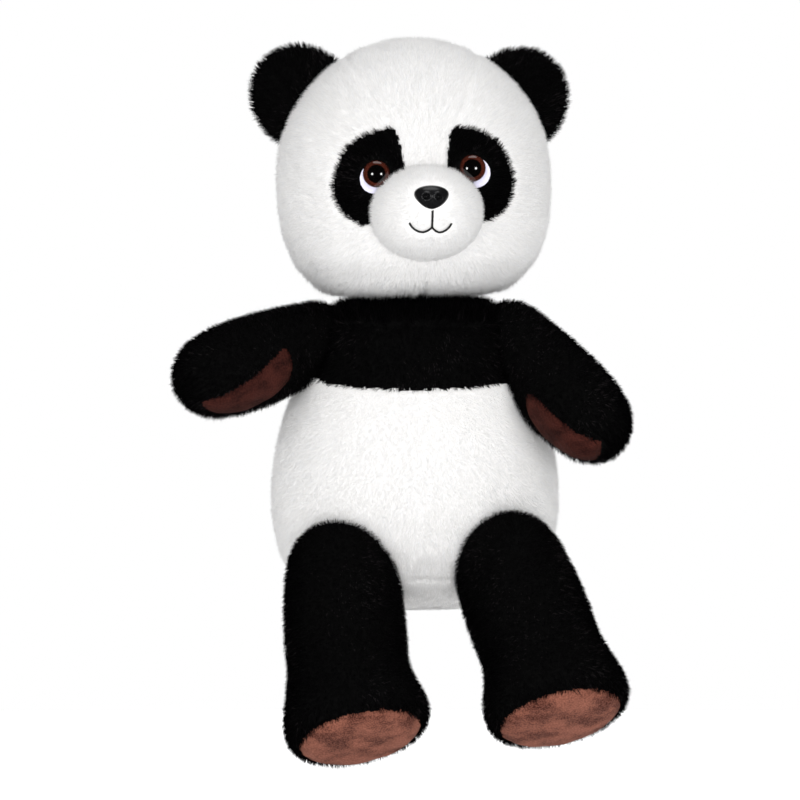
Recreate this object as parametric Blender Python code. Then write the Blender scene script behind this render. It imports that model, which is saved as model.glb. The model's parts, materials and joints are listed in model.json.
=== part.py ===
"""A plush panda: sewn plush panels round stuffed cores, with plastic eyes and nose.

Frame: metres, +Z up, the face looks towards -Y, and "left" is the panda's own left, +X.
The origin is the middle of the flat seat under the body.
"""

import math

import bmesh
import bpy
from mathutils import Matrix, Vector

# ---------------------------------------------------------------- driving sizes
GAP = 0.0003  # between neighbouring pieces
SKIN = 0.0024  # plush backing with the dense root of its pile
ROOM = 0.0010  # clearance round a moving limb

HEAD_CENTRE = Vector((-0.001, -0.005, 0.242))
HEAD_HALF = Vector((0.0730, 0.060, 0.0695))
HEAD_TURN = math.radians(6.5)  # the face looks slightly to the panda's left
HEAD_TILT = math.radians(-2.0)
HEAD_POWER_UP, HEAD_POWER_DOWN = 1.95, 3.35  # rounder crown, squarer cheeks and chin
HEAD_SPLIT_Y = 0.010  # the ear seam, between face panels and head back

MUZZLE_CENTRE = Vector((0, -0.052, -0.0248))
MUZZLE_HALF = Vector((0.0295, 0.034, 0.0245))

EYE_AT = Vector((0.0262, 0, -0.002))
EYE_RADIUS = 0.0075
EYE_DOME = 0.0042
EYE_OUTWARD = math.radians(9)
EYE_LIFT = 0.0007  # the panda's left eye is sewn this much higher, the right this much lower
FELT_RADIUS, FELT_THICK = 0.0082, 0.0010
FELT_SHIFT = (0.0017, -0.0031)  # outward and down from the eye
SHANK_RADIUS = 0.0020
WASHER_RADIUS, WASHER_THICK = 0.0070, 0.0014
WASHER_IN = 0.0056  # how far behind the skin an eye's washer sits
NOSE_WASHER_RADIUS = 0.0055

NOSE_AT = Vector((0, 0, -0.0172))
NOSE_HALF = Vector((0.0094, 0.0052, 0.0068))

EAR_CENTRE = Vector((0.0585, 0.010, 0.0410))
EAR_LOWER = Vector((0.0012, 0, -0.0055))  # the panda's left ear is sewn this much further out and down
EAR_HALF = Vector((0.0280, 0.0085, 0.0310))
EAR_LEAN = math.radians(40)  # from upright, outwards

NECK_RADIUS, NECK_LOW, NECK_HIGH = 0.0245, 0.161, 0.1775
NECK_PIVOT = Vector((-0.001, 0, 0.170))
NECK_SOCKET = 0.0285  # ball-shaped hollow under the head, round the pivot

BODY_DEPTH = 0.80  # the body is this share as deep as it is wide
BODY_PROFILE = (  # height and half width, from the flat seat up
    (0.0, 0.0), (0.0, 0.0300), (0.0045, 0.0490), (0.014, 0.0635), (0.030, 0.0735),
    (0.050, 0.0775), (0.070, 0.0775), (0.088, 0.0750), (0.105, 0.0708), (0.122, 0.0640),
    (0.140, 0.0585), (0.152, 0.0543), (0.162, 0.0468), (0.1675, 0.0370), (0.1675, 0.0),
)
SEAT_SEAM_Z, YOKE_SEAM_Z = 0.016, 0.1295
YOKE_SLOPE = 0.20  # the yoke seam runs lower on the chest than on the back

ARM_PROFILE = (  # distance from the shoulder and radius
    (-0.0205, 0.0), (-0.0175, 0.0107), (-0.0095, 0.0182), (0.002, 0.0206), (0.022, 0.0228),
    (0.045, 0.0246), (0.066, 0.0244), (0.082, 0.0210), (0.092, 0.0135), (0.0965, 0.0),
)
LEG_PROFILE = (
    (-0.0260, 0.0), (-0.0235, 0.0150), (-0.0140, 0.0250), (0.0, 0.0292), (0.022, 0.0312),
    (0.045, 0.0318), (0.060, 0.0312), (0.075, 0.0342), (0.086, 0.0380), (0.0955, 0.0390),
    (0.1030, 0.0345), (0.1062, 0.0220), (0.1072, 0.0),
)
SOLE_AT = 0.1025  # the sole seam, measured down the leg
LEG_BEND_FROM, LEG_BEND_OVER = 0.045, 0.050  # the foot turns away from the leg here

# "palm" is the way the paw pad or the sole faces; "pad" shifts the pad down the arm and round it
# and turns it, in degrees
LIMBS = {
    "arm_left": {
        "at": Vector((0.053, -0.006, 0.148)),
        "along": Vector((0.057, -0.047, -0.0605)),
        "palm": Vector((-0.789, -0.499, -0.357)),
        "pad": (0.010, 0.002, -3),
        "profile": ARM_PROFILE,
        "swing": (-15, 0, 30, 60),
        "hinge": Vector((0, -1, 0)),
    },
    "arm_right": {
        "at": Vector((-0.055, -0.006, 0.1475)),
        "along": Vector((-0.071, -0.055, -0.026)),
        "palm": Vector((0.625, -0.541, -0.563)),
        "pad": (0.0, 0.004, -20),
        "profile": ARM_PROFILE,
        "swing": (-35, 0, 20, 40),
        "hinge": Vector((0, 1, 0)),
    },
    "leg_left": {
        "at": Vector((0.0515, -0.046, 0.0235)),
        "along": Vector((0.30, -0.56, -0.80)),
        "palm": Vector((0.22, -0.43, -0.875)),
        "profile": LEG_PROFILE,
        "swing": (-15, 0, 30, 60),
        "hinge": Vector((-1, 0, 0)),
    },
    "leg_right": {
        "at": Vector((-0.0405, -0.046, 0.0190)),
        "along": Vector((0.06, -0.50, -0.87)),
        "palm": Vector((0.20, -0.42, -0.88)),
        "profile": LEG_PROFILE,
        "swing": (-15, 0, 30, 60),
        "hinge": Vector((-1, 0, 0)),
    },
}

COLOURS = {
    "white_plush": (0.86, 0.85, 0.83),
    "black_plush": (0.012, 0.011, 0.012),
    "brown_velour": (0.13, 0.045, 0.03),
    "eye_plastic": (0.06, 0.015, 0.01),
    "white_felt": (0.80, 0.80, 0.90),
    "nose_plastic": (0.02, 0.02, 0.022),
    "black_thread": (0.01, 0.01, 0.01),
    "white_thread": (0.80, 0.80, 0.78),
    "washer_plastic": (0.75, 0.75, 0.72),
    "fibre_fill": (0.88, 0.88, 0.88),
    "pellet_cloth": (0.55, 0.52, 0.45),
}
ROUGHNESS = {"eye_plastic": 0.08, "nose_plastic": 0.3, "washer_plastic": 0.45}

# how finely each soft form is divided, round it and from end to end; a profile has a ring a row
HEAD_FINE, MUZZLE_FINE, EAR_FINE = (24, 14), (20, 12), (16, 10)
BODY_FINE = (24, len(BODY_PROFILE) - 1)
ARM_FINE = (14, len(ARM_PROFILE) - 1)
LEG_FINE = (16, len(LEG_PROFILE) - 1)

PARTS = "plush_panda"
CUTTERS = "cutters"


# ---------------------------------------------------------------- scene and objects
def clear_scene():
    for old in list(bpy.data.objects):
        bpy.data.objects.remove(old, do_unlink=True)


def collection(name):
    made = bpy.data.collections.get(name)
    if made is None:
        made = bpy.data.collections.new(name)
        bpy.context.scene.collection.children.link(made)
    return made


def material(name):
    made = bpy.data.materials.get(name)
    if made is None:
        made = bpy.data.materials.new(name)
        made.use_nodes = True
        shader = made.node_tree.nodes["Principled BSDF"]
        shader.inputs["Base Color"].default_value = (*COLOURS[name], 1)
        shader.inputs["Roughness"].default_value = ROUGHNESS.get(name, 0.9)
        shader.inputs["Metallic"].default_value = 0
    return made


def as_part(bm, name, slot, parent=None):
    """An object of the part, from a bmesh that this frees."""
    mesh = bpy.data.meshes.new(name)
    bm.to_mesh(mesh)
    bm.free()
    mesh.shade_smooth()
    mesh.materials.append(material(slot))
    made = bpy.data.objects.new(name, mesh)
    collection(PARTS).objects.link(made)
    made.parent = parent
    return made


def as_cutter(bm, name, parent=None):
    mesh = bpy.data.meshes.new(name)
    bm.to_mesh(mesh)
    bm.free()
    made = bpy.data.objects.new(name, mesh)
    collection(CUTTERS).objects.link(made)
    made.parent = parent
    made.hide_render = True
    made.display_type = "WIRE"
    return made


def cut(piece, cutter, operation="DIFFERENCE"):
    step = piece.modifiers.new(f"{operation.lower()} {cutter.name}", "BOOLEAN")
    step.operation = operation
    step.object = cutter
    step.solver = "EXACT"


def empty(name, location, rotation=(0, 0, 0)):
    made = bpy.data.objects.new(name, None)
    made.location = location
    made.rotation_euler = rotation
    collection(PARTS).objects.link(made)
    return made


# ---------------------------------------------------------------- shapes
def soft_form(shape, fine, offset=0.0):
    """A closed soft form: a unit sphere whose points go where shape says, then swell by offset."""
    bm = bmesh.new()
    bmesh.ops.create_uvsphere(bm, u_segments=fine[0], v_segments=fine[1], radius=1)
    for v in bm.verts:
        v.co = shape(v.co.copy())
    swell(bm, offset)
    return bm


def swell(bm, offset):
    bm.normal_update()
    moved = [(v, v.co + v.normal * offset) for v in bm.verts]
    for v, place in moved:
        v.co = place


def shell_form(shape, fine, thickness=SKIN):
    """The skin of a soft form, as its outer surface and a reversed inner one."""
    bm = soft_form(shape, fine)
    inner = soft_form(shape, fine, -thickness)
    bmesh.ops.reverse_faces(inner, faces=inner.faces)
    spare = bpy.data.meshes.new("inner")
    inner.to_mesh(spare)
    inner.free()
    bm.from_mesh(spare)
    bpy.data.meshes.remove(spare)
    return bm


def box_form(low, high):
    bm = bmesh.new()
    low, high = Vector(low), Vector(high)
    size = high - low
    matrix = Matrix.Translation((low + high) / 2) @ Matrix.Diagonal((*size, 1))
    bmesh.ops.create_cube(bm, size=1, matrix=matrix)
    return bm


def rod_form(radius, start, end, segments=14):
    """A closed cylinder between two points."""
    start, end = Vector(start), Vector(end)
    turn = (end - start).to_track_quat("Z", "Y").to_matrix().to_4x4()
    bm = bmesh.new()
    bmesh.ops.create_cone(
        bm, cap_ends=True, segments=segments, radius1=radius, radius2=radius,
        depth=(end - start).length, matrix=Matrix.Translation((start + end) / 2) @ turn,
    )
    return bm


def ball_form(radius, centre):
    bm = bmesh.new()
    bmesh.ops.create_uvsphere(bm, u_segments=24, v_segments=16, radius=radius, matrix=Matrix.Translation(centre))
    return bm


def smooth_loop(points, steps=4):
    """A closed Catmull-Rom curve through the points."""
    made = []
    count = len(points)
    for i in range(count):
        a, b, c, d = (Vector(points[(i + k) % count]) for k in (-1, 0, 1, 2))
        for k in range(steps):
            t = k / steps
            made.append(
                0.5 * (2 * b + (c - a) * t + (2 * a - 5 * b + 4 * c - d) * t**2
                       + (3 * b - a - 3 * c + d) * t**3)
            )
    return made


def offset_loop(points, distance):
    """The outline moved outwards; it runs anticlockwise."""
    made = []
    count = len(points)
    for i in range(count):
        along = (points[(i + 1) % count] - points[i - 1]).normalized()
        made.append(points[i] + Vector((along.y, -along.x)) * distance)
    return made


def prism_form(outline, place, low, high):
    """An outline pulled from depth low to high; place turns (across, up, depth) into a point."""
    bm = bmesh.new()
    turning = sum(a.cross(b) for a, b in zip(outline, outline[1:] + outline[:1], strict=True))
    if turning < 0:
        outline = outline[::-1]
    near = bm.faces.new([bm.verts.new((*p, low)) for p in outline])
    made = bmesh.ops.extrude_face_region(bm, geom=[near])
    lifted = [g for g in made["geom"] if isinstance(g, bmesh.types.BMVert)]
    bmesh.ops.translate(bm, verts=lifted, vec=(0, 0, high - low))
    for v in bm.verts:
        v.co = place(v.co)
    bmesh.ops.recalc_face_normals(bm, faces=bm.faces)
    return bm


def table(rows, at):
    """The second column of the rows, read between them at a value of the first."""
    if at <= rows[0][0]:
        return rows[0][1]
    for (a, low), (b, high) in zip(rows, rows[1:], strict=False):
        if a < b and at <= b:
            return low + (high - low) * (at - a) / (b - a)
    return rows[-1][1]


def profile_row(rows, way):
    """The profile's place and radius for a ring of a unit sphere, whose rings match its rows."""
    index = (0.5 + math.asin(max(-1, min(1, way.z))) / math.pi) * (len(rows) - 1)
    return rows[min(len(rows) - 1, round(index))]


# ---------------------------------------------------------------- soft forms of the panda
def head_shape(way):
    """Superellipsoid: rounder above the cheeks than below."""
    power = HEAD_POWER_UP if way.z > 0 else HEAD_POWER_DOWN
    flat = math.hypot(way.x, way.y)
    reach = (flat**power + abs(way.z) ** power) ** (-1 / power)
    return Vector(h * w * reach for h, w in zip(HEAD_HALF, way, strict=True))


def head_surface_y(x, z):
    """Where the front of the head is, at a place across and up."""
    power = HEAD_POWER_UP if z > 0 else HEAD_POWER_DOWN
    flat = (1 - abs(z / HEAD_HALF.z) ** power) ** (1 / power)
    return -HEAD_HALF.y * math.sqrt(max(0.0, flat**2 - (x / HEAD_HALF.x) ** 2))


def muzzle_shape(way):
    return Vector(c + h * w for c, h, w in zip(MUZZLE_CENTRE, MUZZLE_HALF, way, strict=True))


def muzzle_surface_y(x, z):
    across = (x / MUZZLE_HALF.x) ** 2 + ((z - MUZZLE_CENTRE.z) / MUZZLE_HALF.z) ** 2
    return MUZZLE_CENTRE.y - MUZZLE_HALF.y * math.sqrt(1 - across)


def body_shape(way):
    z, radius = profile_row(BODY_PROFILE, way)
    reach = radius / max(1e-6, math.hypot(way.x, way.y))
    return Vector((way.x * reach, way.y * reach * BODY_DEPTH, z))


def limb_stations(limb, fine=0.001):
    """Points and directions down the middle of a limb; a leg bends towards its sole."""
    straight = limb["along"].normalized()
    bent = limb["palm"].normalized() if limb["profile"] is LEG_PROFILE else straight
    at = straight * limb["profile"][0][0]
    along = limb["profile"][0][0]
    stations = []
    while along < limb["profile"][-1][0] + fine:
        share = min(1, max(0, (along - LEG_BEND_FROM) / LEG_BEND_OVER))
        way = straight.lerp(bent, share * share * (3 - 2 * share)).normalized()
        stations.append((along, at.copy(), way))
        at += way * fine
        along += fine
    return stations


def limb_shape(limb):
    """A shape for soft_form, whose poles are the limb's two ends."""
    stations = limb_stations(limb)
    side = limb["palm"].cross(limb["along"]).normalized()
    if limb["profile"] is LEG_PROFILE:
        side = Vector((1, 0, 0))

    def shape(way):
        along, radius = profile_row(limb["profile"], way)
        _, at, down = min(stations, key=lambda s: abs(s[0] - along))
        across = (side - down * side.dot(down)).normalized()
        reach = radius / max(1e-6, math.hypot(way.x, way.y))
        return at + across * way.x * reach + down.cross(across) * way.y * reach

    return shape


# ---------------------------------------------------------------- head
def eye_frame(side):
    """Where an eye sits on the head, and the way that it looks; side is 1 for the left."""
    x, z = side * EYE_AT.x, EYE_AT.z + side * EYE_LIFT
    look = Vector((side * math.sin(EYE_OUTWARD), -math.cos(EYE_OUTWARD), 0))
    return Vector((x, head_surface_y(x, z), z)), look


def felt_centre(side):
    at, look = eye_frame(side)
    outward = Vector((-look.y, look.x, 0)) * side
    return at + outward * FELT_SHIFT[0] + Vector((0, 0, FELT_SHIFT[1])) + look * 0.0004


def patch_outline(side, grow):
    """The drooping eye patch, seen from the front; its inner low edge runs under the muzzle."""
    points = (
        (0.0155, 0.0200), (0.0245, 0.0195), (0.0340, 0.0165), (0.0410, 0.0110),
        (0.0450, 0.0040), (0.0475, -0.0030), (0.0485, -0.0110), (0.0460, -0.0200),
        (0.0405, -0.0265), (0.0320, -0.0305), (0.0250, -0.0260), (0.0200, -0.0150),
        (0.0130, -0.0060), (0.0118, 0.0010), (0.0128, 0.0090),
    )
    loop = [Vector((side * x, z)) for x, z in points]
    if side > 0:
        loop.reverse()
    return offset_loop(smooth_loop(loop, 3), grow)


def gusset_outline(grow):
    half = ((0.0142, -0.012), (0.0146, 0.010), (0.0185, 0.026), (0.031, 0.050), (0.040, 0.080))
    loop = [Vector((x + grow, z)) for x, z in half]
    return loop + [Vector((-p.x, p.y)) for p in reversed(loop)]


def facing_front(point):
    """Puts an outline's (across, up, depth) in the head's frame, depth towards -Y."""
    return Vector((point.x, -point.z, point.y))


def head_cutters(head):
    """Everything that the head's panels and stuffing are cut by, in the head's frame."""
    wide = 0.12
    made = {
        "front": box_form((-wide, -wide, -wide), (wide, HEAD_SPLIT_Y - GAP / 2, wide)),
        "back": box_form((-wide, HEAD_SPLIT_Y + GAP / 2, -wide), (wide, wide, wide)),
        "left": box_form((GAP / 2, -wide, -wide), (wide, HEAD_SPLIT_Y - GAP / 2, wide)),
        "right": box_form((-wide, -wide, -wide), (-GAP / 2, HEAD_SPLIT_Y - GAP / 2, wide)),
        "gusset_in": prism_form(gusset_outline(-GAP / 2), facing_front, -HEAD_SPLIT_Y + GAP / 2, wide),
        "gusset_out": prism_form(gusset_outline(GAP / 2), facing_front, -HEAD_SPLIT_Y, wide),
        "muzzle_out": soft_form(muzzle_shape, MUZZLE_FINE, GAP),
        "form_out": soft_form(head_shape, HEAD_FINE, GAP),
        "form_in": soft_form(head_shape, HEAD_FINE, -SKIN),
    }
    for side, name in ((1, "left"), (-1, "right")):
        made[f"patch_in_{name}"] = prism_form(patch_outline(side, -GAP / 2), facing_front, 0.02, wide)
        made[f"patch_out_{name}"] = prism_form(patch_outline(side, GAP / 2), facing_front, 0.02, wide)
        at, look = eye_frame(side)
        made[f"shank_{name}"] = rod_form(SHANK_RADIUS + GAP, at + look * 0.004, at - look * 0.013)
        made[f"washer_{name}"] = rod_form(
            WASHER_RADIUS + GAP, at - look * (WASHER_IN - 0.0016), at - look * 0.0120
        )
        felt = felt_centre(side)
        made[f"felt_{name}"] = rod_form(FELT_RADIUS + 0.0004, felt, felt + look * 0.008)
        made[f"iris_{name}"] = rod_form(EYE_RADIUS + 0.0004, at + look * 0.0008, at + look * 0.008)
    return {key: as_cutter(bm, f"cut_head_{key}", head) for key, bm in made.items()}


def make_head(head, socket):
    cutters = head_cutters(head)
    skin = shell_form(head_shape, HEAD_FINE)
    panels = {
        "forehead_gusset": ("gusset_in",),
        "face_side_left": ("left",),
        "face_side_right": ("right",),
        "head_back": ("back",),
    }
    for name, keep in panels.items():
        panel = as_part(skin.copy(), name, "white_plush", head)
        for key in keep:
            cut(panel, cutters[key], "INTERSECT")
        if name.startswith("face_side"):
            cut(panel, cutters["gusset_out"])
        if name != "head_back":
            cut(panel, cutters["muzzle_out"])
            for side in ("left", "right"):
                if name in ("forehead_gusset", f"face_side_{side}"):
                    cut(panel, cutters[f"patch_out_{side}"])
        if name != "forehead_gusset":
            cut(panel, socket)
    for side in ("left", "right"):
        patch = as_part(skin.copy(), f"eye_patch_{side}", "black_plush", head)
        cut(patch, cutters[f"patch_in_{side}"], "INTERSECT")
        cut(patch, cutters["muzzle_out"])
        for key in ("felt", "iris", "shank"):
            cut(patch, cutters[f"{key}_{side}"])
    skin.free()
    shank_hole = make_muzzle(head, cutters)
    make_eyes(head, cutters["muzzle_out"])
    make_ears(head, cutters["form_out"])
    stuffing = as_part(soft_form(head_shape, HEAD_FINE, -SKIN - GAP), "head_stuffing", "fibre_fill", head)
    cut(stuffing, as_cutter(soft_form(muzzle_shape, MUZZLE_FINE, -SKIN - GAP), "muzzle_fill", head), "UNION")
    front = muzzle_surface_y(0, NOSE_AT.z)
    nose_room = rod_form(NOSE_WASHER_RADIUS + GAP, (0, front + 0.0070, NOSE_AT.z), (0, front + 0.014, NOSE_AT.z))
    for cutter in (
        *(cutters[f"{key}_{side}"] for key in ("shank", "washer") for side in ("left", "right")),
        as_cutter(nose_room, "nose_washer_room", head),
        shank_hole,
        socket,
    ):
        cut(stuffing, cutter)


def make_muzzle(head, cutters):
    """The dome over the muzzle, the nose through it with its washer, and the sewn mouth."""
    cover = as_part(shell_form(muzzle_shape, MUZZLE_FINE), "muzzle_cover", "white_plush", head)
    cut(cover, cutters["form_in"])
    front = muzzle_surface_y(0, NOSE_AT.z)
    tip = Vector((0, front - 0.001, NOSE_AT.z))
    inside = Vector((0, front + 0.0115, NOSE_AT.z))
    shank_hole = as_cutter(rod_form(SHANK_RADIUS + GAP, tip, inside), "nose_shank_hole", head)
    cut(cover, shank_hole)

    def nose_shape(way):
        spread = 1 + 0.22 * way.z
        return Vector((
            way.x * NOSE_HALF.x * spread,
            front + 0.0008 + way.y * NOSE_HALF.y,
            NOSE_AT.z + way.z * NOSE_HALF.z,
        ))

    nose = as_part(soft_form(nose_shape, (16, 8)), "nose", "nose_plastic", head)
    cut(nose, cutters["muzzle_out"])
    stem = as_cutter(rod_form(SHANK_RADIUS, tip - Vector((0, 0.001, 0)), inside), "nose_stem", head)
    cut(nose, stem, "UNION")
    washer_at = inside - Vector((0, 0.0020, 0))
    washer = rod_form(NOSE_WASHER_RADIUS, washer_at - Vector((0, WASHER_THICK, 0)), washer_at)
    ring = as_part(washer, "nose_washer", "washer_plastic", head)
    cut(ring, as_cutter(rod_form(SHANK_RADIUS + GAP, tip, inside + Vector((0, 0.01, 0))), "nose_bore", head))
    make_mouth(head)
    return shank_hole


def make_mouth(head):
    """One raised line of satin stitch: a stem below the nose and an arc to each side."""
    thread = 0.0006
    half = ((0, -0.0338), (0.0022, -0.0358), (0.0052, -0.0364), (0.0085, -0.0352), (0.0114, -0.0318))
    smile = [(-x, z) for x, z in reversed(half)] + list(half[1:])
    stem = ((0, -0.0262), (0, -0.0300), (0, -0.0341))
    made = []
    for i, stroke in enumerate((stem, smile)):
        curve = bpy.data.curves.new(f"mouth_{i}", "CURVE")
        curve.dimensions = "3D"
        curve.bevel_depth = thread * (1 - 0.1 * i)
        curve.bevel_resolution = 1
        curve.use_fill_caps = True
        line = curve.splines.new("POLY")
        line.points.add(len(stroke) - 1)
        for point, (x, z) in zip(line.points, stroke, strict=True):
            point.co = (x, muzzle_surface_y(x, z) - thread - GAP * 1.6, z, 1)
        made.append(welded_mesh(curve, f"mouth_stroke_{i}"))
    stitching = as_part(made[0], "mouth_stitching", "black_thread", head)
    cut(stitching, as_cutter(made[1], "mouth_smile", head), "UNION")


def welded_mesh(curve, name):
    """A bmesh of a curve's tube, with its caps joined on; the curve is removed."""
    spare = bpy.data.objects.new(name, curve)
    bpy.context.scene.collection.objects.link(spare)
    graph = bpy.context.evaluated_depsgraph_get()
    mesh = bpy.data.meshes.new_from_object(spare.evaluated_get(graph), depsgraph=graph)
    bm = bmesh.new()
    bm.from_mesh(mesh)
    bmesh.ops.remove_doubles(bm, verts=bm.verts, dist=0.00001)
    bmesh.ops.recalc_face_normals(bm, faces=bm.faces)
    bpy.data.objects.remove(spare)
    bpy.data.curves.remove(curve)
    bpy.data.meshes.remove(mesh)
    return bm


def make_eyes(head, muzzle):
    """Safety eyes: a dome on a shank, a felt disc behind it and a washer inside the head."""
    for side, name in ((1, "left"), (-1, "right")):
        at, look = eye_frame(side)
        felt_at = felt_centre(side)
        felt = rod_form(FELT_RADIUS, felt_at + look * 0.0002, felt_at + look * (0.0002 + FELT_THICK))
        white = as_part(felt, f"eye_white_{name}", "white_felt", head)
        hole = rod_form(SHANK_RADIUS + GAP, at - look * 0.01, at + look * 0.01)
        cut(white, as_cutter(hole, f"eye_hole_{name}", head))
        cut(white, muzzle)
        base = at + look * (0.0006 + FELT_THICK + GAP)
        turn = look.to_track_quat("Z", "Y").to_matrix()

        def dome_shape(way, base=base, turn=turn):
            lift = EYE_DOME * way.z if way.z > 0 else 0.0
            return base + turn @ Vector((way.x * EYE_RADIUS, way.y * EYE_RADIUS, lift))

        dome = soft_form(dome_shape, (16, 8))
        bmesh.ops.dissolve_limit(dome, angle_limit=0.001, verts=dome.verts, edges=dome.edges)
        eye = as_part(dome, f"eye_{name}", "eye_plastic", head)
        shank = rod_form(SHANK_RADIUS, base + look * 0.001, at - look * 0.0112)
        cut(eye, as_cutter(shank, f"eye_shank_{name}", head), "UNION")
        washer = rod_form(WASHER_RADIUS, at - look * WASHER_IN, at - look * (WASHER_IN + WASHER_THICK))
        ring = as_part(washer, f"eye_washer_{name}", "washer_plastic", head)
        cut(ring, as_cutter(hole_through(at, look), f"washer_hole_{name}", head))


def hole_through(at, look):
    return rod_form(SHANK_RADIUS + GAP, at - look * 0.012, at + look * 0.002)


def make_ears(head, head_form):
    """Each ear is two round panels face to face, cut to sit on the head."""
    for side, name in ((1, "left"), (-1, "right")):
        turn = Matrix.Rotation(side * EAR_LEAN, 3, "Y")
        centre = Vector((side * EAR_CENTRE.x, EAR_CENTRE.y, EAR_CENTRE.z))
        if name == "left":
            centre += EAR_LOWER

        def ear_shape(way, turn=turn, centre=centre):
            return centre + turn @ Vector(h * w for h, w in zip(EAR_HALF, way, strict=True))

        form = soft_form(ear_shape, EAR_FINE)
        for face, low, high in (
            ("front", -0.05, EAR_CENTRE.y - GAP / 2),
            ("back", EAR_CENTRE.y + GAP / 2, 0.05),
        ):
            panel = as_part(form.copy(), f"ear_{face}_{name}", "black_plush", head)
            region = box_form((-0.2, low, -0.2), (0.2, high, 0.2))
            cut(panel, as_cutter(region, f"ear_{face}_region_{name}", head), "INTERSECT")
            cut(panel, head_form)
        form.free()


# ---------------------------------------------------------------- neck and body
def make_neck(pivot):
    """A short stuffed tube between body and head, about the pivot that the head nods on."""
    low, high = NECK_LOW - NECK_PIVOT.z, NECK_HIGH - NECK_PIVOT.z
    tube = as_part(rod_form(NECK_RADIUS, (0, 0, low), (0, 0, high), 28), "neck_cover", "black_plush", pivot)
    bore = rod_form(NECK_RADIUS - SKIN, (0, 0, low - 0.01), (0, 0, high + 0.01), 28)
    cut(tube, as_cutter(bore, "neck_bore", pivot))
    fill = rod_form(NECK_RADIUS - SKIN - GAP, (0, 0, low), (0, 0, high), 28)
    as_part(fill, "neck_stuffing", "fibre_fill", pivot)


def make_body(limb_rooms):
    """The body's panels with their seams, its fill, the pellet bag and the closing stitch."""
    wide, top = 0.2, 0.3
    half = GAP / 2
    seat, yoke = SEAT_SEAM_Z, YOKE_SEAM_Z
    regions = {
        "seat_panel": ((-wide, -wide, -wide), (wide, wide, seat - half)),
        "belly_panel": ((-wide, -wide, seat + half), (wide, -half, yoke - half)),
        "back_panel_left": ((half, half, seat + half), (wide, wide, yoke - half)),
        "back_panel_right": ((-wide, half, seat + half), (-half, wide, yoke - half)),
        "chest_yoke": ((-wide, -wide, yoke + half), (wide, -half, top)),
        "shoulder_yoke": ((-wide, half, yoke + half), (wide, wide, top)),
    }
    neck = rod_form(NECK_RADIUS + 2 * GAP, (*NECK_PIVOT.xy, 0.15), (*NECK_PIVOT.xy, 0.20), 28)
    neck_room = as_cutter(neck, "neck_room")
    skin = shell_form(body_shape, BODY_FINE)
    for name, (low, high) in regions.items():
        slot = "black_plush" if name.endswith("yoke") else "white_plush"
        panel = as_part(skin.copy(), name, slot)
        region = box_form(low, high)
        for v in region.verts:
            if abs(v.co.z - yoke) < GAP:
                v.co.z += YOKE_SLOPE * v.co.y
        cut(panel, as_cutter(region, f"{name}_region"), "INTERSECT")
        if name.endswith("yoke"):
            cut(panel, neck_room)
        for limb, room in limb_rooms.items():
            if touches(name, limb):
                cut(panel, room)
    skin.free()
    make_fill(neck_room, limb_rooms)
    make_closing_stitch()


def touches(panel, limb):
    """True if a limb's room reaches into a panel of the body."""
    if limb.startswith("leg"):
        return panel in ("seat_panel", "belly_panel")
    return panel != "seat_panel"


def make_fill(neck_room, limb_rooms):
    stuffing = as_part(soft_form(body_shape, BODY_FINE, -SKIN - GAP), "body_stuffing", "fibre_fill")

    def bag_shape(way):
        return Vector((way.x * 0.038, 0.012 + way.y * 0.026, 0.030 + way.z * 0.016))

    as_part(soft_form(bag_shape, (14, 8)), "pellet_bag", "pellet_cloth")
    cut(stuffing, as_cutter(soft_form(bag_shape, (14, 8), GAP), "pellet_bag_room"))
    vent = rod_form(0.0015, (0, 0.012, -0.01), (0, 0.012, 0.02), 8)
    cut(stuffing, as_cutter(vent, "pellet_bag_pull"))
    cut(stuffing, neck_room)
    for room in limb_rooms.values():
        cut(stuffing, room)


def make_closing_stitch():
    """A short row of ladder stitch on the centre back seam, as one wavy thread."""
    thread, count, pitch, low = 0.0005, 9, 0.0045, 0.062
    curve = bpy.data.curves.new("closing_stitch", "CURVE")
    curve.dimensions = "3D"
    curve.bevel_depth = thread
    curve.bevel_resolution = 1
    curve.use_fill_caps = True
    line = curve.splines.new("POLY")
    line.points.add(count - 1)
    for i, point in enumerate(line.points):
        z = low + i * pitch
        y = table(BODY_PROFILE, z) * BODY_DEPTH + thread + 2 * GAP
        point.co = (0.0018 if i % 2 else -0.0018, y, z, 1)
    as_part(welded_mesh(curve, "closing_stitch"), "closing_stitch", "white_thread")


# ---------------------------------------------------------------- limbs
def limb_room(limb, name):
    """The space that a limb sweeps as it swings, with clearance, as one convex cutter."""
    form = soft_form(limb_shape(limb), LEG_FINE, ROOM)
    swept = bmesh.new()
    for degrees in limb["swing"]:
        turn = Matrix.Rotation(math.radians(degrees), 3, limb["hinge"])
        for v in form.verts:
            swept.verts.new(limb["at"] + turn @ v.co)
    form.free()
    hull = bmesh.ops.convex_hull(swept, input=swept.verts)
    spare = [g for g in hull["geom_interior"] + hull["geom_unused"] if isinstance(g, bmesh.types.BMVert)]
    bmesh.ops.delete(swept, geom=list(set(spare)), context="VERTS")
    bmesh.ops.recalc_face_normals(swept, faces=swept.faces)
    return as_cutter(swept, f"{name}_room")


def half_space(normal, at, reach=0.2):
    """A cube whose near face lies at a point and looks against normal."""
    turn = normal.to_track_quat("Z", "Y").to_matrix().to_4x4()
    bm = bmesh.new()
    bmesh.ops.create_cube(bm, size=reach, matrix=Matrix.Translation(at + normal * reach / 2) @ turn)
    return bm


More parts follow.
